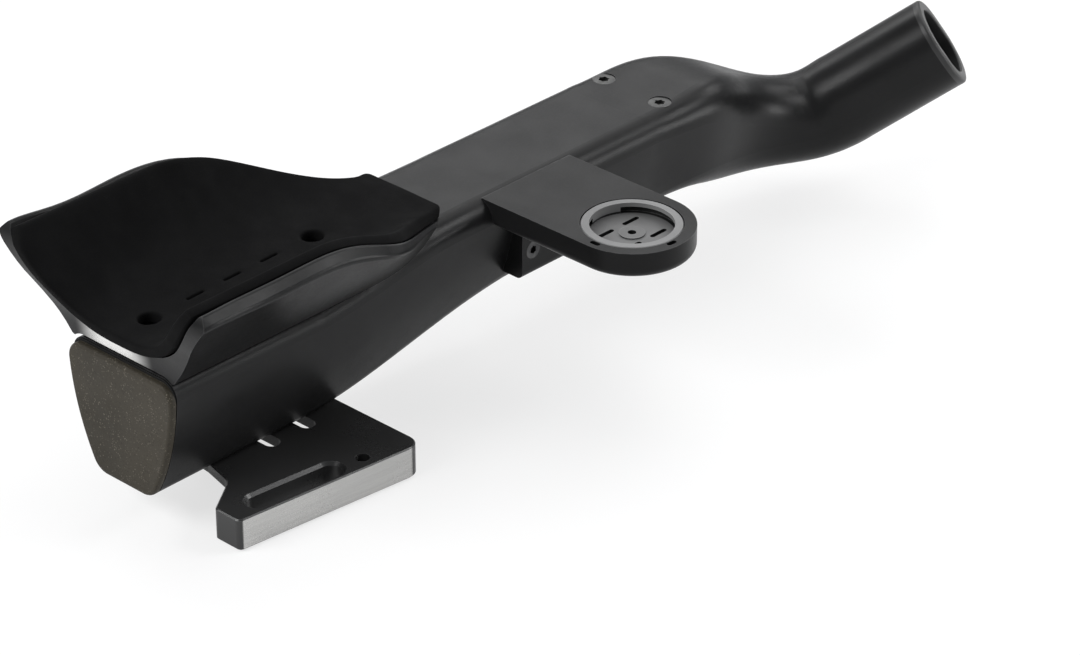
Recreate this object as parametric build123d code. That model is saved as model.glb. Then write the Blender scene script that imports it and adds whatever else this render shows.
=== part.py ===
from build123d import *
from math import cos, pi, sin, tan, radians
import os

# Aero handlebar extension with forearm cradle, for the rider's left forearm, in millimetres.
# X points to the inner side of the pair, +Y forwards, +Z up.
# The origin is the middle of the slot pattern on the underside of the base bracket.
# Stations along the body are given as y from the rear datum and z from the flat top.

# Body placement
rear_to_pattern = 67.7
plate_t = 4.2
body_depth = 61.3
top_z = plate_t + body_depth

# Body tube
wall = 2.2
top_half = 26.6
tube_depth = 44.4
shoulder_r = 8.5
rear_top = 9.0
rear_half = 28.0
rear_bottom_half = 14.5
rear_corner_r = 8.0
tube_end = 4.3
taper_start = 74.0
taper_end = 196.0
flat_start = 150.0
straight_half = 15.4
straight_corner_r = 9.0
bend_start = 258.0

# Open grip at the front
grip_half = 16.5
grip_height = 19.3
grip_yaw = 47.0
grip_rise = 33.7
grip_root = (14.5, 365.8, -41.8)
grip_start = 15.0
grip_length = 66.0
grip_wall = 3.4
grip_r = 15.9
lip_r = 1.4
ring_t = 2.6
sleeve_gap = 0.15
sleeve_t = 1.3
sleeve_l = 12.0

# Forearm cradle
trough_depth = 3.3
cradle_power = 2.7
crest_half = 49.1
crest_height = 30.6
band_drop = 4.8
flank_foot = 27.4
flank_depth = 9.0
cradle_stations = [-9.0, 15.0, 40.0, 60.0, 75.0, 88.0, 100.0, 112.0, 125.0, 138.0, 150.0]
crest_r = 1.3
band_r = 1.8

# Foam pad
pad_t = 5.0
pad_gap = 0.3
pad_reach = 0.985
pad_front = 146.5
pad_front_half = 29.5
pad_corner = 11.0
pad_hole_r = 4.3
pad_hole_pitch = 81.0
pad_mid = 57.7
slit_pitch = 18.3
slit_length = 8.3
slit_width = 1.1

# End cap and its gasket
cap_face = 1.1
cap_gap = 1.4
cap_groove = 3.0
cap_drop = 1.5
cap_edge_r = 1.5
gasket_t = 0.6
skirt_t = 1.6
skirt_depth = 12.0
skirt_gap = 0.3

# Fasteners
m5_r = 2.5
m5_head_r = 4.6
m5_head_h = 2.4
m4_r = 2.0
m4_head_r = 3.6
m4_head_h = 1.9
m3_r = 1.5
m3_head_r = 2.8
m3_head_h = 1.6
thread_gap = 0.08
recess_depth = 1.4
insert_wall = 1.3
insert_flange_t = 1.1
insert_flange = 1.3

# Screws on the flat top, by the bend
top_screw_pitch = 30.0
top_screw_y = 273.8
top_screw_l = 12.0
boss_wall = 2.4
boss_h = 2.6

# Inserts in the trough, under the holes of the pad
trough_insert_r = 3.9
trough_insert_l = 5.5

# Base bracket
slot_r = 3.2
slot_length = 15.2
slot_spacing_x = 24.9
slot_spacing_y = 18.0
bracket_screw_pitch = 23.5
bracket_screw_l = 11.0
rail_drop = 8.8
rail_toe = 6.5
rail_shelf = 10.4
rail_slot_w = 9.4
rail_slot_l = 42.0
rail_slot_rim = 1.2
rail_hole_r = 2.8

# Computer mount
arm_y = 191.9
arm_r = 24.4
arm_reach = 74.85
arm_t = 10.7
arm_edge_r = 3.5
arm_root = 20.0
lug_width = 24.0
lug_face = 29.5
lug_depth = 37.0
lug_r = 8.0
lug_screw_pitch = 12.0
lug_screw_z = -26.0
lug_screw_l = 11.0
socket_r = 19.4
socket_gap = 0.3
socket_h = 6.8
socket_mouth_r = 16.2
socket_under_r = 18.1
socket_lip = 1.7
socket_wing_from = 18.0
socket_wing_to = 148.0
socket_floor = 4.4
socket_slit = 2.0
socket_hub_r = 5.0
socket_hub_h = 0.5
socket_screw_x = 12.6
notch_r = 21.2
notch_length = 4.6
notch_width = 2.2
notch_depth = 2.0


def at(x, y, z):
    return (x, y - rear_to_pattern, z + top_z)


def across(y):
    return Plane(origin=at(0, y, 0), x_dir=(1, 0, 0), z_dir=(0, -1, 0))


def level(z):
    return Plane(origin=at(0, 0, z), x_dir=(1, 0, 0), z_dir=(0, 0, 1))


def lerp(a, b, t):
    return a + (b - a) * t


def ease(y, start, end):
    t = min(max((y - start) / (end - start), 0.0), 1.0)
    return t * t * (3 - 2 * t)


# Body tube: one station is a rounded, bellied trapezoid
def trapezoid(upper, lower, up, down, r_up, r_down, belly):
    top = Line((-upper, up), (upper, up))
    bottom = Line((lower, down), (-lower, down))
    mid = (upper + lower) / 2 + belly
    right = ThreePointArc((upper, up), (mid, (up + down) / 2), (lower, down))
    left = ThreePointArc((-lower, down), (-mid, (up + down) / 2), (-upper, up))
    face = make_face([top, right, bottom, left])
    face = fillet(face.vertices().filter_by(lambda v: v.Y > up - 0.01), r_up)
    return fillet(face.vertices().filter_by(lambda v: v.Y < down + 0.01), r_down)


def rear_top_at(y):
    return -rear_top * (1 - ease(y, taper_start, flat_start))


def tube_station(y, inset, back=None):
    t = ease(y, taper_start, taper_end)
    front = ease(y, taper_start, flat_start)
    up = rear_top_at(y)
    down = lerp(-body_depth, -tube_depth, t)
    upper = lerp(rear_half, top_half, front)
    lower = lerp(rear_bottom_half, straight_half, t)
    r_up = lerp(7.0, shoulder_r, front)
    r_down = lerp(rear_corner_r, straight_corner_r, t)
    belly = lerp(3.6, 2.2, t)
    face = trapezoid(upper - inset, lower - inset * 0.7, up - inset, down + inset,
                     r_up - inset, r_down - inset, belly)
    return across(y if back is None else back) * face


# Bend and grip: centre, half width, half height, lower half width, corner radii
def bend_stations():
    yaw = radians(grip_yaw)
    rise = radians(grip_rise)
    axis = Vector(sin(yaw) * cos(rise), cos(yaw) * cos(rise), sin(rise))
    root = Vector(*grip_root)
    mid = tube_depth / 2
    rows = [(Vector(0.0, bend_start, -mid), top_half, mid, straight_half, shoulder_r, straight_corner_r, 2.2),
            (Vector(0.1, bend_start + 7.0, -mid), top_half, mid, straight_half, shoulder_r,
             straight_corner_r, 2.2),
            (Vector(0.5, 281.0, -21.7), 26.8, 22.3, 17.2, 10.0, 10.5, 2.4),
            (Vector(1.2, 303.0, -23.9), 25.2, 23.4, 19.0, 13.5, 13.5, 1.5),
            (Vector(3.2, 325.0, -31.7), 19.0, 22.0, 16.6, 15.6, 15.0, 0.6),
            (Vector(8.2, 346.0, -37.2), 16.1, 18.9, 15.6, 15.0, 14.8, 0.2),
            (Vector(13.8, 360.9, -38.9), 16.9, 18.2, 16.9, 15.8, 15.8, 0.1)]
    for t in (grip_start, grip_start + 6.0):
        rows.append((root + axis * t, grip_half, grip_height, grip_half, grip_r, grip_r, 0.3))
    return rows, axis


def path_planes(rows, axis):
    planes = []
    for i, row in enumerate(rows):
        if i == 0:
            heading = Vector(0, 1, 0)
        elif i >= len(rows) - 2:
            heading = axis
        else:
            heading = (rows[i + 1][0] - rows[i - 1][0]).normalized()
        side = heading.cross(Vector(0, 0, 1)).normalized()
        centre = row[0]
        planes.append(Plane(origin=at(centre.X, centre.Y, centre.Z), x_dir=side, z_dir=heading * -1))
    return planes


def bend_faces(inset, grip_inset):
    rows, axis = bend_stations()
    planes = path_planes(rows, axis)
    faces = []
    for i, row in enumerate(rows):
        edge = lerp(inset, grip_inset, ease(i, 4, len(rows) - 2))
        centre, half, height, low, r_up, r_down, belly = row
        lower = low - edge * lerp(0.7, 1.0, ease(i, 1, len(rows) - 2))
        face = trapezoid(half - edge, lower, height - edge, edge - height,
                         r_up - edge, r_down - edge, belly)
        faces.append(planes[i] * face)
    return faces, planes


def tube_solid(inset, grip_inset, overrun):
    rear = extrude(tube_station(tube_end, inset, back=tube_end - overrun),
                   amount=-(taper_start - tube_end + overrun))
    stations = [taper_start, taper_start + 7.0, 100.0, 120.0, 140.0, 160.0, 180.0, taper_end - 6.0, taper_end]
    taper = loft([tube_station(y, inset) for y in stations])
    straight = extrude(tube_station(taper_end, inset), amount=-(bend_start - taper_end))
    bend, planes = bend_faces(inset, grip_inset)
    curved = loft(bend)
    length = grip_length - ring_t - grip_start - 6.0
    grip = extrude(bend[-1], amount=-(length + overrun))
    return rear + taper + straight + curved + grip


def grip_plane():
    rows, axis = bend_stations()
    centre = Vector(*grip_root) + axis * grip_length
    side = axis.cross(Vector(0, 0, 1)).normalized()
    return Plane(origin=at(centre.X, centre.Y, centre.Z), x_dir=side, z_dir=axis * -1)


# Cradle: trough, rounded crest, sloping band and flank
def crest_at(y):
    fall = ease(y, 58.0, 150.0)
    near = ease(y, 84.0, 150.0)
    half = lerp(crest_half, 19.5, near)
    high = lerp(crest_height, -1.2, fall)
    return half, high


def trough_low(y):
    return -trough_depth + 1.8 * ease(y, 0.0, 100.0) + (trough_depth - 1.75) * ease(y, 100.0, 148.0)


def trough_curve(y, lift, reach):
    half, high = crest_at(y)
    low = trough_low(y)
    points = []
    count = 8
    for i in range(-count, count + 1):
        u = i / count * reach
        x = half * u
        z = low + (high - low) * abs(u) ** cradle_power
        slope = (high - low) / half * cradle_power * abs(u) ** (cradle_power - 1)
        length = (1 + slope * slope) ** 0.5
        sign = 1 if u >= 0 else -1
        points.append((x - sign * slope / length * lift, z + lift / length))
    return points


def cradle_station(y):
    half, high = crest_at(y)
    band = lerp(band_drop, 1.2, ease(y, 70.0, 140.0))
    soft = lerp(1.0, 0.3, ease(y, 70.0, 140.0))
    foot = lerp(flank_foot, 22.0, ease(y, 100.0, 150.0))
    depth = -flank_depth
    points = trough_curve(y, 0, 1.0)
    top = Spline(*points)
    outer = (half + band, high - band)
    inner = (foot - 8.0, depth - 3.0)
    right = Polyline((half, high), outer, (foot, depth), inner, (-inner[0], inner[1]))
    left = Polyline((-inner[0], inner[1]), (-foot, depth), (-outer[0], outer[1]), (-half, high))
    face = make_face([top] + list(right.edges()) + list(left.edges()))
    crest = face.vertices().filter_by(lambda v: abs(abs(v.X) - half) < 0.01 and abs(v.Y - high) < 0.01)
    face = fillet(crest, crest_r * soft)
    rim = face.vertices().filter_by(lambda v: abs(abs(v.X) - outer[0]) < 0.01 and abs(v.Y - outer[1]) < 0.01)
    face = fillet(rim, band_r * soft)
    return across(y) * face


# The slanted rear edge, as seen from the side
def rear_cutter(offset=0.0):
    line = [(4.6, 36.0), (0.6, 33.4), (-2.6, 30.6), (-4.6, 27.6), (-5.4, 24.2), (-4.9, 20.0), (-3.8, 15.5),
            (-2.3, 11.5), (-0.7, 8.0), (0.9, 4.0), (2.3, 0.0), (3.2, -4.0), (3.7, -9.0), (3.9, -14.0)]
    side = Plane(origin=at(0, 0, 0), x_dir=(0, 1, 0), z_dir=(1, 0, 0))
    curve = Spline(*[(y - offset, z) for y, z in line])
    end = curve @ 1
    start = curve @ 0
    rest = Polyline(end, (-30.0, end.Y), (-30.0, start.Y), start)
    face = make_face([curve] + list(rest.edges()))
    return extrude(side * face, amount=80.0, both=True)


def cradle_solid():
    solid = loft([cradle_station(y) for y in cradle_stations])
    solid = solid - rear_cutter()
    recess = extrude(across(tube_end + cap_groove) * cap_outline(-cap_gap), amount=40.0)
    return solid - recess


# Fasteners
def lobed_recess(r, depth):
    points = []
    for i in range(12):
        reach = r if i % 2 == 0 else r * 0.76
        points.append((reach * cos(i * pi / 6), reach * sin(i * pi / 6)))
    return extrude(make_face(Polyline(*points, close=True)), amount=-depth)


def flat_screw(r, head_r, head_h, length):
    profile = Polyline((0, 0), (head_r, 0), (head_r, -0.3), (r, -head_h), (r, -length + 0.5),
                       (r - 0.5, -length), (0, -length), (0, 0))
    body = revolve(Plane.XZ * make_face(profile), axis=Axis.Z)
    return body - lobed_recess(head_r * 0.52, recess_depth)


def flat_hole(r, head_r, head_h, length, gap=0.15):
    profile = Polyline((0, 1), (head_r + gap, 1), (head_r + gap, -0.3 - gap), (r + gap, -head_h - gap),
                       (r + gap, -length), (0, -length), (0, 1))
    return revolve(Plane.XZ * make_face(profile), axis=Axis.Z)


def threaded_insert(thread_r, length, flange_depth=None):
    outer = thread_r + insert_wall
    solid = Cylinder(outer, length, align=(Align.CENTER, Align.CENTER, Align.MAX))
    if flange_depth is not None:
        flange = Cylinder(outer + insert_flange, insert_flange_t, align=(Align.CENTER, Align.CENTER, Align.MAX))
        solid = solid + Pos(0, 0, -flange_depth) * flange
    return solid - Cylinder(thread_r + thread_gap, 3 * length)


def top_screw_places():
    y = top_screw_y
    return [Pos(*at(side * top_screw_pitch / 2, y, 0)) for side in (-1, 1)]


def bracket_screw_places():
    depth = -body_depth - plate_t
    stations = (rear_to_pattern - bracket_screw_pitch, rear_to_pattern)
    return [Pos(*at(0, y, depth)) * Rot(180, 0, 0) for y in stations]


def trough_places():
    return [(pad_mid - pad_hole_pitch / 2), (pad_mid + pad_hole_pitch / 2)]


def lug_screw_places():
    half = lug_screw_pitch / 2
    return [Pos(*at(lug_face, arm_y + side * half, lug_screw_z)) * Rot(0, 90, 0) for side in (-1, 1)]


def make_top_screws():
    screw = flat_screw(m5_r, m5_head_r, m5_head_h, top_screw_l)
    return [place * screw for place in top_screw_places()]


def boss_depth():
    return wall + boss_h


def make_top_inserts():
    insert = threaded_insert(m5_r, top_screw_l - boss_depth() + 1.0, 0.0)
    return [place * (Pos(0, 0, -boss_depth()) * insert) for place in top_screw_places()]


def make_bracket_screws():
    screw = flat_screw(m5_r, m5_head_r, m5_head_h, bracket_screw_l)
    return [place * screw for place in bracket_screw_places()]


def make_bracket_inserts():
    insert = threaded_insert(m5_r, bracket_screw_l - plate_t + 1.5, wall)
    return [place * (Pos(0, 0, -plate_t) * insert) for place in bracket_screw_places()]


def trough_insert_top(y):
    return trough_low(y) - 0.2


def make_trough_inserts():
    solids = []
    for y in trough_places():
        sleeve = Cylinder(trough_insert_r, trough_insert_l, align=(Align.CENTER, Align.CENTER, Align.MAX))
        bore = Cylinder(m5_r, trough_insert_l - 1.2, align=(Align.CENTER, Align.CENTER, Align.MAX))
        solids.append(Pos(*at(0, y, trough_insert_top(y))) * (sleeve - bore))
    return solids


# Extension body
def bosses():
    solid = None
    for place in top_screw_places():
        r = m5_head_r + boss_wall
        boss = Cylinder(r, boss_h + 0.5, align=(Align.CENTER, Align.CENTER, Align.MAX))
        boss = place * (Pos(0, 0, -wall + 0.5) * boss)
        solid = boss if solid is None else solid + boss
    return solid


def tube_outer():
    return tube_solid(0.0, 0.0, 0.0)


def make_body(outer):
    inner = tube_solid(wall, grip_wall, 12.0)
    body = outer + cradle_solid() - inner + bosses()
    tools = []
    for place in top_screw_places():
        tools.append(place * flat_hole(m5_r, m5_head_r, m5_head_h, boss_depth() + 1.0))
    for place in bracket_screw_places():
        tools.append(place * Cylinder(m5_r + insert_wall + 0.05, 24.0))
    for y in trough_places():
        pocket = Cylinder(trough_insert_r + 0.05, trough_insert_l + 4.0,
                          align=(Align.CENTER, Align.CENTER, Align.MIN))
        tools.append(Pos(*at(0, y, trough_insert_top(y) - trough_insert_l)) * pocket)
    for place in lug_screw_places():
        tools.append(place * (Pos(0, 0, -10.0) * Cylinder(m4_r + insert_wall + 0.05, 30.0)))
    return body - tools


# Ring in the open end of the grip
def oval(cut, r):
    half = grip_half - cut
    height = grip_height - cut
    return trapezoid(half, half, height, -height, r, r, 0.3)


def make_grip_ring():
    plane = grip_plane()
    facing = Axis(plane.origin, plane.z_dir)
    ring = extrude(plane * oval(0.0, grip_r), amount=ring_t)
    ring = fillet(ring.faces().sort_by(facing)[0].edges(), lip_r)
    gap = grip_wall + sleeve_gap
    sleeve = extrude(plane * oval(gap, grip_r - gap), amount=sleeve_l)
    bore = grip_wall + sleeve_gap + sleeve_t
    ring = ring + sleeve - extrude(plane * oval(bore, grip_r - bore), amount=sleeve_l + 1.0)
    mouth = ring.faces().sort_by(facing)[0]
    return fillet(mouth.inner_wires()[0].edges(), 0.8)


# End cap, gasket
def cap_outline(inset, drop=0.0):
    return trapezoid(rear_half - inset, rear_bottom_half - inset * 0.7, -rear_top - inset - drop,
                     -body_depth + inset, 7.0 - inset, rear_corner_r - inset, 3.6)


def make_end_cap():
    t = tube_end - gasket_t - cap_face
    plate = extrude(across(cap_face) * cap_outline(0.0, cap_drop), amount=-t)
    front = plate.faces().sort_by(Axis.Y)[0]
    plate = fillet(front.edges(), cap_edge_r)
    depth = t + gasket_t + skirt_depth
    gap = wall + skirt_gap
    skirt = extrude(across(cap_face + 0.5) * cap_outline(gap), amount=-depth + 0.5)
    hollow = extrude(across(cap_face + t) * cap_outline(gap + skirt_t), amount=-depth)
    return plate + (skirt - hollow)


def make_gasket():
    face = cap_outline(0.5) - cap_outline(wall - 0.1)
    return extrude(across(tube_end - gasket_t) * face, amount=-gasket_t)


# Foam pad
def pad_station(y):
    rest = rear_top_at(y) + pad_gap
    lower = [(x, max(z, rest)) for x, z in trough_curve(y, pad_gap, pad_reach)]
    upper = [(x, max(z, rest + pad_t)) for x, z in trough_curve(y, pad_gap + pad_t, pad_reach)]
    low = Spline(*lower)
    high = Spline(*upper)
    right = Line(lower[-1], upper[-1])
    left = Line(lower[0], upper[0])
    return across(y) * make_face([low, right, high, left])


def pad_outline():
    half = crest_half + 4.0
    front = pad_front
    side = pad_front_half
    points = [(-half, -20.0), (half, -20.0), (half, front - 50.0), (side, front - pad_corner),
              (side - pad_corner, front), (pad_corner - side, front), (-side, front - pad_corner),
              (-half, front - 50.0)]
    face = make_face(Polyline(*points, close=True))
    corners = face.vertices().filter_by(lambda v: v.Y > front - pad_corner - 1)
    return fillet(corners, 5.0)


def make_pad():
    solid = loft([pad_station(y) for y in cradle_stations])
    outline = extrude(Plane(at(0, 0, -30.0)) * pad_outline(), amount=90.0)
    solid = solid & outline
    solid = solid - rear_cutter(offset=1.4)
    for y in trough_places():
        solid = solid - Pos(*at(0, y, 0)) * Cylinder(pad_hole_r, 40.0)
    for i in (-1, 0, 1):
        slit = Plane(at(0, pad_mid + i * slit_pitch, -2.0)) * SlotOverall(slit_length, slit_width, rotation=90)
        solid = solid - extrude(slit, amount=30.0)
    return solid


# Base bracket
def rail_line(x, y):
    angle = radians(rail_toe)
    return (x + (y - 12.9) * tan(angle), y)


def plate_outline():
    points = [(10.4, 32.6), (24.9, 29.1), (35.5, 12.9), rail_line(48.3, 12.9), rail_line(48.3, 97.0),
              (28.9, 97.0), (-20.4, 97.0), (-28.9, 93.4), (-31.9, 89.1), (-38.9, 61.7), (-39.9, 55.0),
              (-31.1, 46.7), (-11.2, 41.5), (-5.0, 34.0)]
    face = make_face(Polyline(*points, close=True))
    face = fillet(face.vertices().filter_by(lambda v: abs(v.X - 24.9) < 0.01), 7.0)
    face = fillet(face.vertices().filter_by(lambda v: v.X > 35.0 and v.Y < 13.0), 2.4)
    face = fillet(face.vertices().filter_by(lambda v: v.X > 55.0), 6.0)
    face = fillet(face.vertices().filter_by(lambda v: abs(v.X + 31.1) < 0.01), 6.0)
    return face


def rail_outline():
    points = [(35.5, 12.9), rail_line(48.3, 12.9), rail_line(48.3, 97.0), rail_line(36.5, 97.0), (33.4, 16.1)]
    face = make_face(Polyline(*points, close=True))
    face = fillet(face.vertices().filter_by(lambda v: v.Y < 13.0), 2.4)
    return fillet(face.vertices().filter_by(lambda v: v.X > 55.0), 6.0)


def rail_pocket():
    points = [rail_line(35.6, 21.0), rail_line(44.6, 21.0), rail_line(44.6, 92.0), rail_line(30.0, 92.0),
              (30.0, 21.0)]
    return make_face(Polyline(*points, close=True))


def rail_slot_centre():
    return rail_line(41.2, 23.0 + rail_slot_l / 2)


def make_bracket():
    face_z = -body_depth
    under = face_z - plate_t
    low = under - rail_drop
    bracket = extrude(level(under) * plate_outline(), amount=plate_t)
    bracket = chamfer(bracket.faces().sort_by(Axis.Z)[-1].edges(), 0.5)
    rail = extrude(level(low) * rail_outline(), amount=rail_drop + plate_t - 0.5)
    rail = chamfer(rail.faces().sort_by(Axis.Z)[0].edges(), 0.6)
    bracket = bracket + rail
    pocket = extrude(level(low - 1.0) * rail_pocket(), amount=rail_drop + plate_t - rail_shelf + 1.0)
    bracket = bracket - pocket
    x, y = rail_slot_centre()
    slot = Rot(0, 0, 90 - rail_toe) * SlotOverall(rail_slot_l, rail_slot_w)
    bracket = bracket - extrude(level(low) * (Pos(x, y) * slot), amount=30.0)
    rim = extrude(level(face_z - rail_slot_rim) * (Pos(x, y) * slot), amount=rail_slot_rim, taper=-45)
    bracket = bracket - rim
    hx, hy = rail_line(42.2, 23.0 + rail_slot_l + 9.0)
    bracket = bracket - Pos(*at(hx, hy, face_z)) * Cylinder(rail_hole_r, 40.0)
    for sx in (-1, 1):
        for sy in (-1, 1):
            centre = Pos(sx * slot_spacing_x / 2, rear_to_pattern + sy * slot_spacing_y / 2)
            shape = centre * SlotOverall(slot_length, 2 * slot_r)
            bracket = bracket - extrude(level(under - 1.0) * shape, amount=plate_t + 2.0)
    for place in bracket_screw_places():
        bracket = bracket - place * flat_hole(m5_r, m5_head_r, m5_head_h, plate_t + 1.0)
    return bracket


# Computer mount arm
def arm_profile():
    root = 6.0
    near = arm_y - arm_r
    far = arm_y + arm_r
    low = Line((root, near), (arm_reach, near))
    tip = ThreePointArc((arm_reach, near), (arm_reach + arm_r, arm_y), (arm_reach, far))
    high = Line((arm_reach, far), (root, far))
    return make_face([low, tip, high, Line((root, far), (root, near))])


def lug_profile():
    far = lug_face + 26.0
    points = [(8.0, -4.0), (far, -4.0), (far, -arm_t), (lug_face, -arm_t), (lug_face, -lug_depth),
              (8.0, -lug_depth)]
    face = make_face(Polyline(*points, close=True))
    inner = face.vertices().filter_by(lambda v: abs(v.X - lug_face) < 0.01 and abs(v.Y + arm_t) < 0.01)
    face = fillet(inner, lug_r)
    corner = face.vertices().filter_by(lambda v: abs(v.X - lug_face) < 0.01 and v.Y < 1 - lug_depth)
    return fillet(corner, 3.0)


def make_arm(outer):
    arm = extrude(level(-arm_t) * arm_profile(), amount=arm_t)
    edges = arm.faces().sort_by(Axis.Z)[0].edges().filter_by(lambda e: e.center().X > 8.0)
    arm = fillet(edges, arm_edge_r)
    lug = extrude(across(arm_y - lug_width / 2) * lug_profile(), amount=-lug_width)
    arm = arm + lug
    arm = arm - outer
    near = Pos(*at(arm_root - 40.0, arm_y, -30.0)) * Box(80.0, 80.0, 80.0)
    arm = arm - (near & (Pos(*at(0, arm_y, 5.0)) * Box(80.0, 80.0, 10.6)))
    arm = arm.solids().sort_by(Axis.X)[-1]
    centre = at(arm_reach, arm_y, 0)
    pocket = Cylinder(socket_r + socket_gap, socket_h, align=(Align.CENTER, Align.CENTER, Align.MAX))
    arm = arm - Pos(*centre) * pocket
    for angle in (-88.0, -4.0):
        notch = SlotOverall(notch_length, notch_width, rotation=90)
        notch = Pos(*centre) * Rot(0, 0, angle) * Pos(notch_r, 0) * notch
        arm = arm - extrude(notch, amount=-notch_depth)
    for place in socket_screw_places():
        arm = arm - place * flat_hole(m3_r, m3_head_r, m3_head_h, arm_t)
    for place in lug_screw_places():
        arm = arm - place * flat_hole(m4_r, m4_head_r, m4_head_h, 20.0)
    return arm


def make_lug_screws():
    screw = flat_screw(m4_r, m4_head_r, m4_head_h, lug_screw_l)
    return [place * screw for place in lug_screw_places()]


def side_wall_x():
    upper = top_half
    t = (-lug_screw_z) / tube_depth
    return upper - (upper - 15.0) * t + 2.2 * 4 * t * (1 - t)


def make_lug_inserts():
    reach = lug_face - side_wall_x()
    insert = threaded_insert(m4_r, lug_screw_l - reach + 1.5)
    return [place * (Pos(0, 0, -reach - 1.2) * insert) for place in lug_screw_places()]


# Quarter turn socket
def socket_screw_places():
    places = []
    for side in (-1, 1):
        centre = at(arm_reach + side * socket_screw_x, arm_y, -arm_t)
        places.append(Pos(*centre) * Rot(180, 0, 0))
    return places


def wing_sector():
    middle = (socket_wing_from + socket_wing_to) / 2
    points = [(0.0, 0.0)]
    for angle in (socket_wing_from, middle, socket_wing_to):
        points.append((60.0 * cos(radians(angle)), 60.0 * sin(radians(angle))))
    return Pos(0, 0, -20.0) * extrude(make_face(Polyline(*points, close=True)), amount=20.0)


def make_socket():
    base = at(arm_reach, arm_y, 0)
    body = Cylinder(socket_r, socket_h, align=(Align.CENTER, Align.CENTER, Align.MAX))
    body = chamfer(body.edges().sort_by(Axis.Z)[-1], 0.4)
    mouth = Cylinder(socket_mouth_r, socket_floor, align=(Align.CENTER, Align.CENTER, Align.MAX))
    body = body - mouth
    under = Cylinder(socket_under_r, socket_floor - socket_lip, align=(Align.CENTER, Align.CENTER, Align.MAX))
    under = Pos(0, 0, -socket_lip) * under
    for turn in (0.0, 180.0):
        body = body - (under & (Rot(0, 0, turn) * wing_sector()))
    for sx in (-1, 1):
        for sy in (-1, 1):
            slit = Pos(sx * 7.0, sy * 7.0) * SlotOverall(8.6, socket_slit, rotation=90)
            body = body - extrude(Pos(0, 0, -socket_floor + 0.5) * slit, amount=-socket_h)
    hub = Cylinder(socket_hub_r, socket_hub_h, align=(Align.CENTER, Align.CENTER, Align.MIN))
    body = body + Pos(0, 0, -socket_floor) * hub
    body = body - Pos(0, 0, -socket_floor) * Cylinder(1.7, 3.0)
    for side in (-1, 1):
        pilot = Pos(side * socket_screw_x, 0, -socket_h) * Cylinder(m3_r + thread_gap, 3.4)
        body = body - pilot
    return Pos(*base) * body


def make_socket_screws():
    screw = flat_screw(m3_r, m3_head_r, m3_head_h, arm_t - socket_h + 1.6)
    return [place * screw for place in socket_screw_places()]


def as_group(solids):
    return Compound(children=[s.solid() for s in solids])


def main():
    os.makedirs("parts", exist_ok=True)
    outer = tube_outer()
    parts = {
        "extension_body": make_body(outer),
        "grip_end_ring": make_grip_ring(),
        "arm_pad": make_pad(),
        "end_cap": make_end_cap(),
        "cap_gasket": make_gasket(),
        "trough_inserts": as_group(make_trough_inserts()),
        "top_screws": as_group(make_top_screws()),
        "top_inserts": as_group(make_top_inserts()),
        "base_bracket": make_bracket(),
        "bracket_screws": as_group(make_bracket_screws()),
        "bracket_inserts": as_group(make_bracket_inserts()),
        "computer_mount_arm": make_arm(outer),
        "mount_arm_screws": as_group(make_lug_screws()),
        "mount_arm_inserts": as_group(make_lug_inserts()),
        "quarter_turn_socket": make_socket(),
        "socket_screws": as_group(make_socket_screws()),
    }
    for name, shape in parts.items():
        export_step(shape, "parts/" + name + ".step")


main()
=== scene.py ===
# Aero handlebar extension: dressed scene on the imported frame, in metres
import bpy
import bmesh
import math
from mathutils import Matrix, Vector, noise
from mathutils.geometry import delaunay_2d_cdt

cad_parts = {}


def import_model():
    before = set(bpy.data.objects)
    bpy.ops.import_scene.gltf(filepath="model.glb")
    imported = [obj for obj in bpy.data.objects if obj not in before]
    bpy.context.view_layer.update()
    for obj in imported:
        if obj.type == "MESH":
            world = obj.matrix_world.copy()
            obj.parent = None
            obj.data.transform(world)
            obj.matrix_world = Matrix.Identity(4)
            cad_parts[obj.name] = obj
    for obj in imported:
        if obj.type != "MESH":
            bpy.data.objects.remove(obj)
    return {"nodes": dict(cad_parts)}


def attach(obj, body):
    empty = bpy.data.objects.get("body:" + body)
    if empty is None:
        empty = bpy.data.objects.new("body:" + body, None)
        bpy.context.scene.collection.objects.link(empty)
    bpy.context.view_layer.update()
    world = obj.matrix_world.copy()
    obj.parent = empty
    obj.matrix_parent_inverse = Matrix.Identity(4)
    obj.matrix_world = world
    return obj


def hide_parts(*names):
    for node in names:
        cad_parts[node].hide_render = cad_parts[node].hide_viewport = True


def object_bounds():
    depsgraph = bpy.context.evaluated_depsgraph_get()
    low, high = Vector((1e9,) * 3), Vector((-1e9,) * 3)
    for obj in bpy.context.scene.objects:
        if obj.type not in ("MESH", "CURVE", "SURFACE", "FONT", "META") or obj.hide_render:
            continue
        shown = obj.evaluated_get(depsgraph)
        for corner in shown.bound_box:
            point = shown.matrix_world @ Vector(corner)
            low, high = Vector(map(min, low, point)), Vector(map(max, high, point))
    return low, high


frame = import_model()
cad_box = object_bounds()
nodes = frame["nodes"]


# Colours
def rgb(colour):
    return tuple(colour) + (1.0,)


def grey(value):
    return (value, value, value, 1.0)


def tint(colour, gain, add=0.0):
    return rgb([min(c * gain + add, 0.9) for c in colour])


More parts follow.
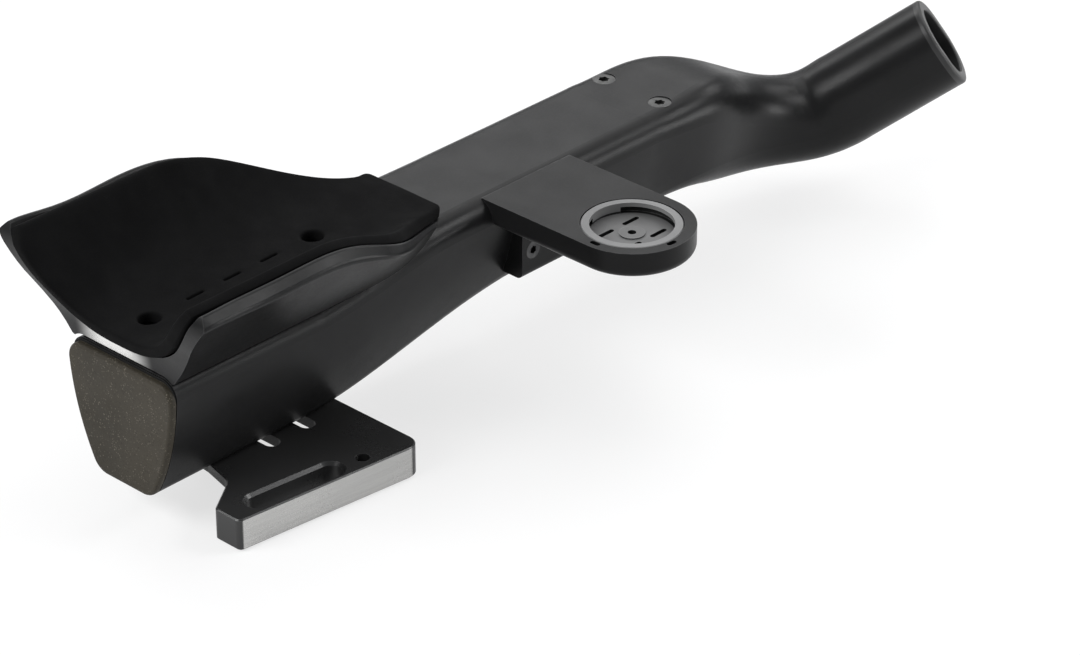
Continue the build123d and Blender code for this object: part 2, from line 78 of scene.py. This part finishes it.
# Shader helpers
class Shader:
    def __init__(self, name):
        self.mat = bpy.data.materials.new(name)
        self.mat.use_nodes = True
        self.tree = self.mat.node_tree
        self.tree.nodes.clear()
        self.bsdf = self.node("ShaderNodeBsdfPrincipled")
        self.out = self.node("ShaderNodeOutputMaterial", {"Surface": self.bsdf.outputs[0]})
        self.coord = self.node("ShaderNodeTexCoord").outputs["Object"]

    def node(self, kind, inputs=None, **settings):
        n = self.tree.nodes.new(kind)
        for key, value in settings.items():
            setattr(n, key, value)
        for key, value in (inputs or {}).items():
            self.put(n.inputs[key], value)
        return n

    def put(self, socket, value):
        if isinstance(value, bpy.types.NodeSocket):
            self.tree.links.new(value, socket)
        else:
            socket.default_value = value

    def noise(self, scale, detail, rough=0.55, stretch=(1, 1, 1)):
        place = self.node("ShaderNodeMapping", {"Vector": self.coord, "Scale": stretch})
        texture = self.node("ShaderNodeTexNoise", {
            "Vector": place.outputs[0], "Scale": scale, "Detail": detail, "Roughness": rough})
        return texture.outputs["Fac"]

    def cells(self, scale):
        texture = self.node("ShaderNodeTexVoronoi", {"Vector": self.coord, "Scale": scale})
        return texture.outputs["Distance"]

    def ramp(self, fac, low, high, a=0.0, b=1.0):
        values = {"Value": fac, "From Min": low, "From Max": high, "To Min": a, "To Max": b}
        return self.node("ShaderNodeMapRange", values, interpolation_type="SMOOTHSTEP").outputs[0]

    def clouds(self, scale, detail, a=0.0, b=1.0):
        return self.ramp(self.noise(scale, detail), 0.3, 0.7, a, b)

    def calc(self, op, a, b):
        return self.node("ShaderNodeMath", {0: a, 1: b}, operation=op).outputs[0]

    def absolute(self, value):
        return self.node("ShaderNodeMath", {0: value}, operation="ABSOLUTE").outputs[0]

    def vector(self, op, a, b):
        return self.node("ShaderNodeVectorMath", {0: a, 1: b}, operation=op)

    def mix(self, fac, a, b):
        values = {"Factor": fac, "A": a, "B": b}
        return self.node("ShaderNodeMix", values, data_type="RGBA").outputs["Result"]

    def axis(self, vector, index):
        return self.node("ShaderNodeSeparateXYZ", {0: vector}).outputs[index]

    def geometry(self, output):
        return self.node("ShaderNodeNewGeometry").outputs[output]

    def facing(self, way, low, high):
        normal = self.geometry("True Normal")
        dot = self.vector("DOT_PRODUCT", normal, Vector(way).normalized())
        return self.ramp(dot.outputs["Value"], low, high)

    # Lighter bevelled edges: edge wear, and where strong, as on the bracket, a painted glint along
    # the edges
    def edge_wear_and_glint(self, colour, radius, strength, bright):
        bevel = self.node("ShaderNodeBevel", {"Radius": radius}, samples=6)
        dot = self.vector("DOT_PRODUCT", bevel.outputs[0], self.geometry("Normal"))
        edge = self.ramp(dot.outputs["Value"], 0.995, 0.82)
        broken = self.ramp(self.noise(260.0, 4.0), 0.38, 0.62, 0.35, 1.0)
        share = self.calc("MULTIPLY", self.calc("MULTIPLY", edge, broken), strength)
        return self.mix(share, colour, bright)

    def bump(self, height, distance, strength, below=None):
        values = {"Strength": strength, "Distance": distance, "Height": height}
        if below is not None:
            values["Normal"] = below
        return self.node("ShaderNodeBump", values).outputs[0]

    def fill(self, colour, rough, **others):
        self.put(self.bsdf.inputs["Base Color"], colour)
        self.put(self.bsdf.inputs["Roughness"], rough)
        sockets = {"spec": "Specular IOR Level", "metallic": "Metallic", "normal": "Normal"}
        for key, value in others.items():
            self.put(self.bsdf.inputs[sockets[key]], value)
        return self.mat


# Areas of bare metal, as masks: each pair is where the area begins and where it is full. The rear
# cut's area also fades out to both sides of a centre line: a painted highlight
REAR_CUT_WAY = (0.0, -0.95, -0.3)
REAR_CUT_FACING = (0.86, 0.92)
REAR_CUT_Y = (-0.0625, -0.0635)
REAR_CUT_Z = (0.0572, 0.0578)
REAR_HIGHLIGHT_CENTRE = -0.004
REAR_HIGHLIGHT_HALF = (0.021, 0.005)
RAIL_WAY = (0.9936, -0.1132, 0.0)
RAIL_FACING = (0.97, 0.985)
RAIL_X = (0.042, 0.044)


def rear_cut_with_painted_highlight(s):
    face = s.facing(REAR_CUT_WAY, *REAR_CUT_FACING)
    behind = s.ramp(s.axis(s.coord, 1), *REAR_CUT_Y)
    above = s.ramp(s.axis(s.coord, 2), *REAR_CUT_Z)
    # Painted highlight: the rear cut's metal is brightest at a centre line and fades out to both
    # sides
    off_highlight_centre = s.absolute(s.calc("ADD", s.axis(s.coord, 0), -REAR_HIGHLIGHT_CENTRE))
    highlight_fade = s.ramp(off_highlight_centre, *REAR_HIGHLIGHT_HALF)
    area = s.calc("MULTIPLY", behind, above)
    return s.calc("MULTIPLY", s.calc("MULTIPLY", face, area), highlight_fade)


def rail_side(s):
    face = s.facing(RAIL_WAY, *RAIL_FACING)
    return s.calc("MULTIPLY", face, s.ramp(s.axis(s.coord, 0), *RAIL_X))


# Painted shade in the socket's depths: the undercut, the walls of the slits and the floor are
# darkened in the colour
SOCKET_CENTRE = (0.07485, 0.1242, 0.0)
MOUTH_R = 0.0163
LIP_Z = 0.0636
SLIT_Z = 0.0619
FLOOR_Z = 0.0618
FLOOR_SHADE = 0.42
WALL_UPRIGHT = (0.5, 0.3)
EASE_IN = 0.0002


def socket_painted_shade(s):
    flat = s.vector("MULTIPLY", s.coord, (1.0, 1.0, 0.0)).outputs[0]
    reach = s.vector("DISTANCE", flat, SOCKET_CENTRE).outputs["Value"]
    height = s.axis(s.coord, 2)
    beyond = s.ramp(reach, MOUTH_R, MOUTH_R + EASE_IN)
    low = s.ramp(height, LIP_Z + EASE_IN, LIP_Z)
    floor = s.ramp(height, FLOOR_Z + 2 * EASE_IN, FLOOR_Z, 0.0, FLOOR_SHADE)
    upright = s.absolute(s.axis(s.geometry("True Normal"), 2))
    walls = s.ramp(upright, *WALL_UPRIGHT)
    slits = s.calc("MULTIPLY", walls, s.ramp(height, SLIT_Z + EASE_IN, SLIT_Z))
    dark = s.calc("MAXIMUM", s.calc("MULTIPLY", beyond, low), slits)
    return s.calc("MAXIMUM", dark, floor)


# Materials
BARE_DULL = (0.945, 0.94, 0.922)
BARE_CLEAR = (1.055, 1.047, 1.027)
EDGE_WEAR_AND_GLINT_GREY = (0.11, 0.11, 0.113)


# Metal colour and metal over a mask; on the rear cut the mask's fade is a painted highlight
def bare_metal_and_highlight(s, area, level, colour, rough):
    streak = s.noise(240.0, 5.0, rough=0.6, stretch=(1.0, 0.12, 6.0))
    dull = rgb([level * c for c in BARE_DULL])
    clear = rgb([level * c for c in BARE_CLEAR])
    bright = s.mix(s.ramp(streak, 0.3, 0.7), dull, clear)
    rough = s.calc("ADD", rough, s.calc("MULTIPLY", area, -0.06))
    s.fill(s.mix(area, colour, bright), rough, metallic=s.calc("MULTIPLY", area, 0.95))


def anodised(name, base, light, rough, spec, grain=5200.0, wear_and_glint=0.4, bare_and_highlight=None):
    s = Shader(name)
    fine = s.noise(900.0, 3.0)
    colour = s.mix(s.clouds(16.0, 2.0), rgb(base), rgb(light))
    colour = s.mix(s.ramp(fine, 0.62, 0.8, 0.0, 0.25), colour, tint(light, 1.8))
    colour = s.edge_wear_and_glint(colour, 0.0006, wear_and_glint, rgb(EDGE_WEAR_AND_GLINT_GREY))
    broad = s.clouds(45.0, 4.0, rough - 0.035, rough + 0.045)
    gloss = s.calc("ADD", broad, s.ramp(fine, 0.3, 0.7, -0.02, 0.03))
    s.fill(colour, gloss, spec=spec, normal=s.bump(s.noise(grain, 2.0), 0.00002, 0.55))
    if bare_and_highlight:
        mask, level = bare_and_highlight
        bare_metal_and_highlight(s, mask(s), level, colour, gloss)
    return s.mat


def moulded(name, base, light, rough, spec=0.4, depth=0.00004, speckle=None, dark=None):
    s = Shader(name)
    colour = s.mix(s.clouds(22.0, 3.0), rgb(base), rgb(light))
    if dark:
        # Painted shade: the colour is darkened where the mask marks the shaded depths
        colour = s.mix(dark(s), colour, grey(0.01))
    if speckle:
        dots = s.ramp(s.cells(1100.0), 0.36, 0.16, 0.0, 0.65)
        dots = s.calc("MULTIPLY", dots, s.ramp(s.noise(520.0, 2.0), 0.45, 0.62))
        colour = s.mix(dots, colour, rgb(speckle))
        pits = s.ramp(s.noise(1400.0, 2.0), 0.56, 0.7, 0.0, 0.5)
        colour = s.mix(pits, colour, tint(base, 0.5))
    colour = s.edge_wear_and_glint(colour, 0.0005, 0.25, tint(light, 2.4, 0.03))
    gloss = s.clouds(60.0, 4.0, rough - 0.05, rough + 0.06)
    return s.fill(colour, gloss, spec=spec, normal=s.bump(s.noise(1800.0, 3.0), depth, 0.8))


def steel(name, base, light, rough):
    s = Shader(name)
    colour = s.mix(s.clouds(180.0, 4.0), rgb(base), rgb(light))
    colour = s.edge_wear_and_glint(colour, 0.0002, 0.7, tint(light, 1.6, 0.05))
    gloss = s.clouds(400.0, 4.0, rough - 0.06, rough + 0.08)
    return s.fill(colour, gloss, metallic=1.0, normal=s.bump(s.noise(2600.0, 2.0), 0.00001, 0.6))


def foam(name):
    s = Shader(name)
    base, light = (0.0042, 0.0042, 0.0044), (0.0058, 0.0058, 0.006)
    colour = s.mix(s.clouds(28.0, 3.0), rgb(base), rgb(light))
    colour = s.mix(s.ramp(s.noise(1900.0, 3.0), 0.6, 0.8, 0.0, 0.3), colour, grey(0.014))
    colour = s.edge_wear_and_glint(colour, 0.0009, 0.3, grey(0.02))
    coarse = s.bump(s.noise(520.0, 3.0), 0.00004, 0.4)
    fine = s.bump(s.cells(2600.0), 0.00005, 0.7, below=coarse)
    return s.fill(colour, s.clouds(90.0, 4.0, 0.8, 0.92), spec=0.06, normal=fine)


# The body's rear cut is bare metal, with a painted highlight fading out to both sides
body_mat = anodised("body_satin_black", (0.007, 0.007, 0.0072), (0.0108, 0.0108, 0.0111),
                    rough=0.33, spec=0.16, bare_and_highlight=(rear_cut_with_painted_highlight, 0.78))
arm_mat = anodised("arm_satin_black", (0.006, 0.006, 0.0062), (0.009, 0.009, 0.0092),
                   rough=0.33, spec=0.14)
# The bracket's strong edge lightening is edge wear plus a painted glint on the slot's edges
bracket_mat = anodised("bracket_satin_black", (0.02, 0.02, 0.02), (0.03, 0.03, 0.0303),
                       rough=0.3, spec=0.5, grain=3800.0, wear_and_glint=0.8, bare_and_highlight=(rail_side, 0.48))
cap_mat = moulded("cap_speckled_grey", (0.031, 0.0272, 0.0203), (0.045, 0.039, 0.0288),
                  rough=0.5, spec=0.15, speckle=(0.16, 0.145, 0.115))
ring_mat = moulded("ring_black", (0.014, 0.014, 0.014), (0.022, 0.022, 0.022),
                   rough=0.42, depth=0.00002)
gasket_mat = moulded("gasket_black", (0.006, 0.006, 0.006), (0.01, 0.01, 0.01),
                     rough=0.75, spec=0.2)
socket_mat = moulded("socket_grey", (0.17, 0.17, 0.17), (0.22, 0.22, 0.22),
                     rough=0.45, spec=0.3, depth=0.00003, dark=socket_painted_shade)
steel_mat = steel("screw_stainless", (0.07, 0.07, 0.07), (0.11, 0.11, 0.108), 0.42)
dark_steel = steel("screw_black_oxide", (0.05, 0.05, 0.052), (0.09, 0.09, 0.09), 0.4)
dark_insert = steel("insert_black_zinc", (0.04, 0.04, 0.042), (0.07, 0.07, 0.07), 0.45)
brass_mat = steel("insert_brass", (0.5, 0.38, 0.17), (0.62, 0.49, 0.24), 0.34)

LOOKS = {
    "extension_body": body_mat,
    "grip_end_ring": ring_mat,
    "end_cap": cap_mat,
    "cap_gasket": gasket_mat,
    "trough_inserts": dark_insert,
    "top_screws": steel_mat,
    "top_inserts": brass_mat,
    "base_bracket": bracket_mat,
    "bracket_screws": dark_steel,
    "bracket_inserts": brass_mat,
    "computer_mount_arm": arm_mat,
    "mount_arm_screws": dark_steel,
    "mount_arm_inserts": brass_mat,
    "quarter_turn_socket": socket_mat,
    "socket_screws": dark_steel,
}


def dress(o, mat):
    if not o.material_slots:
        o.data.materials.append(mat)
    for slot in o.material_slots:
        slot.material = mat


for node_name, look in LOOKS.items():
    dress(nodes[node_name], look)


# Foam pad: the trough's curve, offset by the pad's thickness, with a rounded rim, holes and slits.
# It is laid out in millimetres, with y from the rear datum and z from the flat top of the body.
MM = 0.001
REAR = 67.7
TOP = 65.5

CREST_HALF = 49.1
CREST_HIGH = 30.6
NECK_HALF = 19.5
NECK_HIGH = -1.2
NECK_Y = 150.0
NARROW_FROM = 84.0
FALL_FROM = 58.0
TROUGH_LOW = -3.3
TROUGH_MIDDLE_Y = 100.0
TROUGH_MIDDLE_RISE = 1.8
TROUGH_END_Y = 148.0
TROUGH_END_RISE = 1.55
TROUGH_POWER = 2.7
SLOPE_POWER = 1.7
SHELF_Z = -9.0
SHELF_TO = 74.0
REAR_LINE = [(4.6, 36.0), (0.6, 33.4), (-2.6, 30.6), (-4.6, 27.6), (-5.4, 24.2), (-4.9, 20.0),
             (-3.8, 15.5), (-2.3, 11.5), (-0.7, 8.0), (0.9, 4.0), (2.3, 0.0), (3.2, -4.0),
             (3.7, -9.0)]
SETBACK = 1.4
SETTLE = 12

PAD_LOW = 0.3
PAD_HIGH = 5.3
PAD_SINK = 0.18
PAD_REACH = 0.985
PAD_FRONT = 146.5
PLAN_LIFT = 3.0
REAR_BLEND = (-8.0, 22.0)
SWELLS = ((0.05, 0.03, 3.1), (0.015, 0.3, 7.7))
CORNER_X = 3.4
CORNER_Y = 3.2

HOLE_R = 4.3
HOLE_SIDES = 40
HOLE_STEP = 40.5
PAD_MIDDLE = 57.7
SLIT_STEP = 18.3
SLIT_LENGTH = 8.3
SLIT_R = 0.55
SLIT_TURNS = 8

RIM_R = 1.25
HOLE_RIM = 0.9
SLIT_RIM = 0.45
RIM_ROWS = (0.10, 0.3, 0.65, 1.25)
RIM_KEPT = 0.85
OUTER_STEP = 1.3
SLIT_EDGE_STEP = 0.7
GRID = 1.7
GRID_REAR = -10.0
GRID_LENGTH = 170
GRID_HALF = 32
GRID_CLEAR = 1.9
FAR = 9.0
BY_SIDE = 4
BY_REAR = 2
BY_FRONT = 142
BY_CUTS = 8


def ease(y, start, end):
    t = min(max((y - start) / (end - start), 0.0), 1.0)
    return t * t * (3 - 2 * t)


def lerp(a, b, t):
    return a + (b - a) * t


def crest(y):
    half = lerp(CREST_HALF, NECK_HALF, ease(y, NARROW_FROM, NECK_Y))
    high = lerp(CREST_HIGH, NECK_HIGH, ease(y, FALL_FROM, NECK_Y))
    return half, high


def surface(x, y, lift):
    half, high = crest(y)
    low = TROUGH_LOW + TROUGH_MIDDLE_RISE * ease(y, 0.0, TROUGH_MIDDLE_Y)
    low = low + TROUGH_END_RISE * ease(y, TROUGH_MIDDLE_Y, TROUGH_END_Y)
    u = min(abs(x) / half, 1.0)
    z = low + (high - low) * u ** TROUGH_POWER
    slope = (high - low) / half * TROUGH_POWER * u ** SLOPE_POWER
    length = math.sqrt(1 + slope * slope)
    side = 1 if x >= 0 else -1
    rest = SHELF_Z * (1 - ease(y, SHELF_TO, NECK_Y)) + lift
    return x - side * slope / length * lift, max(z + lift / length, rest)


def rear_y(z):
    rows = REAR_LINE
    for (ya, za), (yb, zb) in zip(rows, rows[1:]):
        if zb <= z <= za:
            return lerp(ya, yb, (z - za) / (zb - za)) - SETBACK
    return (rows[0][0] if z > rows[0][1] else rows[-1][0]) - SETBACK


def rear_edge(x, lift):
    y = 0.0
    for _ in range(SETTLE):
        y = rear_y(surface(x, y, lift)[1])
    return y


def side_x(y):
    return crest(y)[0] * PAD_REACH


def ring(loop):
    return zip(loop, loop[1:] + loop[:1])


def pad_loop():
    rear_steps, side_steps, corner_steps, front_steps = 44, 96, 6, 24
    loop = []
    wide = side_x(0.0)
    for i in range(rear_steps + 1):
        x = wide * math.sin((i / rear_steps - 0.5) * math.pi)
        loop.append((x, rear_edge(x, PLAN_LIFT)))
    start = loop[-1][1]
    corner = PAD_FRONT - CORNER_Y
    for i in range(1, side_steps + 1):
        y = lerp(start, corner, i / side_steps)
        loop.append((side_x(y), y))
    last = side_x(corner)
    for i in range(1, corner_steps + 1):
        a = i / corner_steps * math.pi / 2
        loop.append((last - CORNER_X * (1 - math.cos(a)), corner + CORNER_Y * math.sin(a)))
    edge = loop[-1][0]
    for i in range(1, front_steps):
        loop.append((lerp(edge, -edge, i / front_steps), PAD_FRONT))
    one_side = loop[rear_steps + 1:rear_steps + 1 + side_steps + corner_steps]
    return loop + [(-x, y) for x, y in reversed(one_side)]


def circle(cx, cy, r, n):
    turns = [-2 * math.pi * i / n for i in range(n)]
    return [(cx + r * math.cos(a), cy + r * math.sin(a)) for a in turns]


def slit(cy):
    half = SLIT_LENGTH / 2 - SLIT_R
    points = []
    for turn, shift in ((0.0, half), (math.pi, -half)):
        for i in range(SLIT_TURNS + 1):
            a = turn + math.pi * i / SLIT_TURNS
            points.append((-SLIT_R * math.cos(a), cy + shift + SLIT_R * math.sin(a)))
    return points


def densify(loop, step):
    out = []
    for (ax, ay), (bx, by) in ring(loop):
        n = max(1, int(math.hypot(bx - ax, by - ay) / step))
        for i in range(n):
            out.append((lerp(ax, bx, i / n), lerp(ay, by, i / n)))
    return out


def inward(loop, d):
    out = []
    n = len(loop)
    for i in range(n):
        ax, ay = loop[i - 1]
        bx, by = loop[(i + 1) % n]
        px, py = loop[i]
        tx, ty = bx - ax, by - ay
        length = math.hypot(tx, ty) or 1.0
        out.append((px - ty / length * d, py + tx / length * d))
    return out


def nearest(loops, x, y):
    best = math.inf
    for loop in loops:
        for (ax, ay), (bx, by) in ring(loop):
            dx, dy = bx - ax, by - ay
            t = ((x - ax) * dx + (y - ay) * dy) / (dx * dx + dy * dy)
            t = min(max(t, 0.0), 1.0)
            best = min(best, math.hypot(x - ax - dx * t, y - ay - dy * t))
    return best


def inside(loop, x, y):
    odd = False
    for (ax, ay), (bx, by) in ring(loop):
        if (ay > y) != (by > y) and x < (bx - ax) * (y - ay) / (by - ay) + ax:
            odd = not odd
    return odd


def rim_points(loops):
    rims = [RIM_R, HOLE_RIM, HOLE_RIM, SLIT_RIM, SLIT_RIM, SLIT_RIM]
    points, depth = [], []
    for loop, rim in zip(loops, rims):
        for row in RIM_ROWS:
            d = row / RIM_R * rim
            for p in inward(loop, d):
                true = nearest([loop], p[0], p[1])
                if true > RIM_KEPT * d:
                    points.append(p)
                    depth.append(min(true / rim * RIM_R, RIM_R))
    return points, depth


def grid_points(loops):
    outer, cuts = loops[0], loops[1:]
    coarse = [outer[::3]]
    points = []
    for j in range(int(GRID_LENGTH / GRID)):
        y = GRID_REAR + j * GRID
        for i in range(-GRID_HALF, GRID_HALF + 1):
            x = (i + 0.5 * (j % 2)) * GRID
            if not inside(outer, x, y) or any(inside(cut, x, y) for cut in cuts):
                continue
            by_rim = abs(x) > side_x(y) - BY_SIDE or y < BY_REAR or y > BY_FRONT
            near = nearest(coarse, x, y) if by_rim else FAR
            if abs(x) < BY_CUTS:
                near = min(near, nearest(cuts, x, y))
            if near > GRID_CLEAR:
                points.append((x, y))
    return points


# Plan of the pad: points, their depth behind the rim, faces and the edges of the outline
def pad_plan():
    outer = densify(pad_loop(), OUTER_STEP)
    holes = [circle(0, PAD_MIDDLE + side * HOLE_STEP, HOLE_R, HOLE_SIDES) for side in (-1, 1)]
    slits = [densify(slit(PAD_MIDDLE + i * SLIT_STEP), SLIT_EDGE_STEP) for i in (-1, 0, 1)]
    cuts = holes + slits
    loops = [outer] + cuts
    points, edges = [], []
    for loop in loops:
        start = len(points)
        points += loop
        edges += [(start + i, start + (i + 1) % len(loop)) for i in range(len(loop))]
    depth = [0.0] * len(points)
    rim, rim_depth = rim_points(loops)
    grid = grid_points(loops)
    points += rim + grid
    depth += rim_depth + [RIM_R] * len(grid)
    out = delaunay_2d_cdt([Vector(p) for p in points], edges, [], 1, 1e-6)
    verts, faces, origin = out[0], out[2], out[3]
    plan = [(v.x, v.y) for v in verts]
    deep = [depth[o[0]] if o else 0.0 for o in origin]
    kept = []
    for f in faces:
        cx = sum(plan[i][0] for i in f) / len(f)
        cy = sum(plan[i][1] for i in f) / len(f)
        if not any(inside(cut, cx, cy) for cut in cuts):
            kept.append(f)
    sides = {pair: True for f in kept for pair in ring(list(f))}
    outline = [(a, b) for a, b in sides if (b, a) not in sides]
    return plan, deep, kept, outline


def lift_point(x, y, lift):
    near = 1 - ease(y, *REAR_BLEND)
    if near > 0:
        y = y + (rear_edge(x, lift) - rear_edge(x, PLAN_LIFT)) * near
    px, pz = surface(x, y, lift)
    return Vector((px * MM, (y - REAR) * MM, (pz + TOP) * MM))


def swell(x, y):
    rise = 0.0
    for high, scale, seed in SWELLS:
        rise += high * noise.noise(Vector((x * scale, y * scale, seed)))
    return rise


def pad_mesh():
    plan, deep, faces, outline = pad_plan()
    bm = bmesh.new()
    high, low = [], []
    for (x, y), d in zip(plan, deep):
        drop = RIM_R - math.sqrt(max(RIM_R ** 2 - (RIM_R - min(d, RIM_R)) ** 2, 0.0))
        soft = swell(x, y) if d >= RIM_R else 0.0
        high.append(bm.verts.new(lift_point(x, y, PAD_HIGH - drop - PAD_SINK + soft)))
        low.append(bm.verts.new(lift_point(x, y, PAD_LOW + 0.5 * drop)))
    for f in faces:
        bm.faces.new([high[i] for i in f])
        bm.faces.new([low[i] for i in reversed(f)])
    for a, b in outline:
        bm.faces.new([high[b], high[a], low[a], low[b]])
    bmesh.ops.recalc_face_normals(bm, faces=bm.faces)
    mesh = bpy.data.meshes.new("foam_pad")
    bm.to_mesh(mesh)
    bm.free()
    mesh.shade_smooth()
    return mesh


def add(name, data):
    o = bpy.data.objects.new(name, data)
    bpy.context.scene.collection.objects.link(o)
    return o


pad = add("foam_pad", pad_mesh())
pad.data.materials.append(foam("pad_closed_cell_foam"))
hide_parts("arm_pad")
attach(pad, "root")


# Floor: a white sheet that catches the shadow and is seen as plain white
FLOOR_GAP = 0.0005
FLOOR_HALF = 6
GLOW_SEEN = 0.7
GLOW_MIRRORED = 0.3
FLOOR_TONES = (0.93, 0.95)
SKY = (0.9, 0.92, 0.95)
SKY_STRENGTH = 0.3


def floor_material():
    s = Shader("floor_white")
    low, high = FLOOR_TONES
    s.fill(s.mix(s.clouds(3.0, 2.0), grey(low), grey(high)), 0.95, spec=0.0)
    path = s.node("ShaderNodeLightPath").outputs
    through = s.calc("MAXIMUM", path["Is Glossy Ray"], path["Is Transmission Ray"])
    mirrored = s.calc("MULTIPLY", through, GLOW_MIRRORED)
    seen = s.calc("MULTIPLY", path["Is Camera Ray"], GLOW_SEEN)
    glow = s.node("ShaderNodeEmission", {"Color": grey(1.0), "Strength": 1.0})
    share = s.calc("MAXIMUM", mirrored, seen)
    blend = s.node("ShaderNodeMixShader", {0: share, 1: s.bsdf.outputs[0], 2: glow.outputs[0]})
    s.put(s.out.inputs["Surface"], blend.outputs[0])
    return s.mat


def make_floor():
    mesh = bpy.data.meshes.new("studio_floor")
    z = cad_box[0][2] - FLOOR_GAP
    far = FLOOR_HALF
    bm = bmesh.new()
    corners = ((-far, -far), (far, -far), (far, far), (-far, far))
    bm.faces.new([bm.verts.new((x, y, z)) for x, y in corners])
    bm.to_mesh(mesh)
    bm.free()
    mesh.materials.append(floor_material())
    floor = add("studio_floor", mesh)


# Lamps: name, place, target, width, height, power
LAMPS = (
    ("top_box", (-0.3, 0.65, 1.45), (0.0, 0.1, 0.03), 1.2, 1.2, 7.5),
    ("back_box", (-0.85, 1.0, 0.78), (0.0, 0.1, 0.03), 1.1, 0.7, 3.8),
    ("front_box", (0.05, 1.55, 0.85), (0.02, 0.28, 0.05), 0.6, 0.4, 3.0),
    ("right_high", (0.72, 0.93, 0.98), (0.05, 0.0, 0.09), 0.6, 0.45, 6.0),
    ("left_box", (-1.3, 0.42, 0.82), (0.03, 0.3, 0.06), 0.4, 0.5, 3.0),
    ("rear_box", (-0.3, -0.85, 0.8), (0.04, 0.3, 0.06), 0.8, 0.45, 11.0),
    ("right_box", (0.95, 1.05, 0.22), (0.0, 0.05, 0.04), 0.5, 0.4, 5.0),
)


def softbox(name, place, target, width, height, power):
    data = bpy.data.lights.new(name, "AREA")
    data.shape = "RECTANGLE"
    data.size = width
    data.size_y = height
    data.energy = power
    lamp = add(name, data)
    lamp.visible_camera = False
    turn = (Vector(target) - Vector(place)).to_track_quat("-Z", "Y")
    lamp.matrix_world = Matrix.Translation(place) @ turn.to_matrix().to_4x4()


def world():
    w = bpy.data.worlds.new("studio")
    bpy.context.scene.world = w
    w.use_nodes = True
    back = w.node_tree.nodes["Background"]
    back.inputs["Color"].default_value = rgb(SKY)
    back.inputs["Strength"].default_value = SKY_STRENGTH


make_floor()
world()
for lamp_row in LAMPS:
    softbox(*lamp_row)

# Camera, solved from the photograph
CAMERA_PLACE = (0.99925, -0.90287, 0.80892)
CAMERA_LOOK = (-0.5969, 0.6308, -0.4957)
CAMERA_LENS = 139.66
CAMERA_SENSOR = 36.0


def camera():
    data = bpy.data.cameras.new("photo_camera")
    data.sensor_fit = "HORIZONTAL"
    data.sensor_width = CAMERA_SENSOR
    data.lens = CAMERA_LENS
    data.clip_start = 0.05
    data.clip_end = 60.0
    cam = add("photo_camera", data)
    look = Vector(CAMERA_LOOK).normalized()
    right = look.cross(Vector((0, 0, 1))).normalized()
    up = right.cross(look)
    turn = Matrix((right, up, -look)).transposed().to_4x4()
    cam.matrix_world = Matrix.Translation(CAMERA_PLACE) @ turn
    bpy.context.scene.camera = cam


camera()
bpy.context.scene.view_settings.view_transform = "Standard"
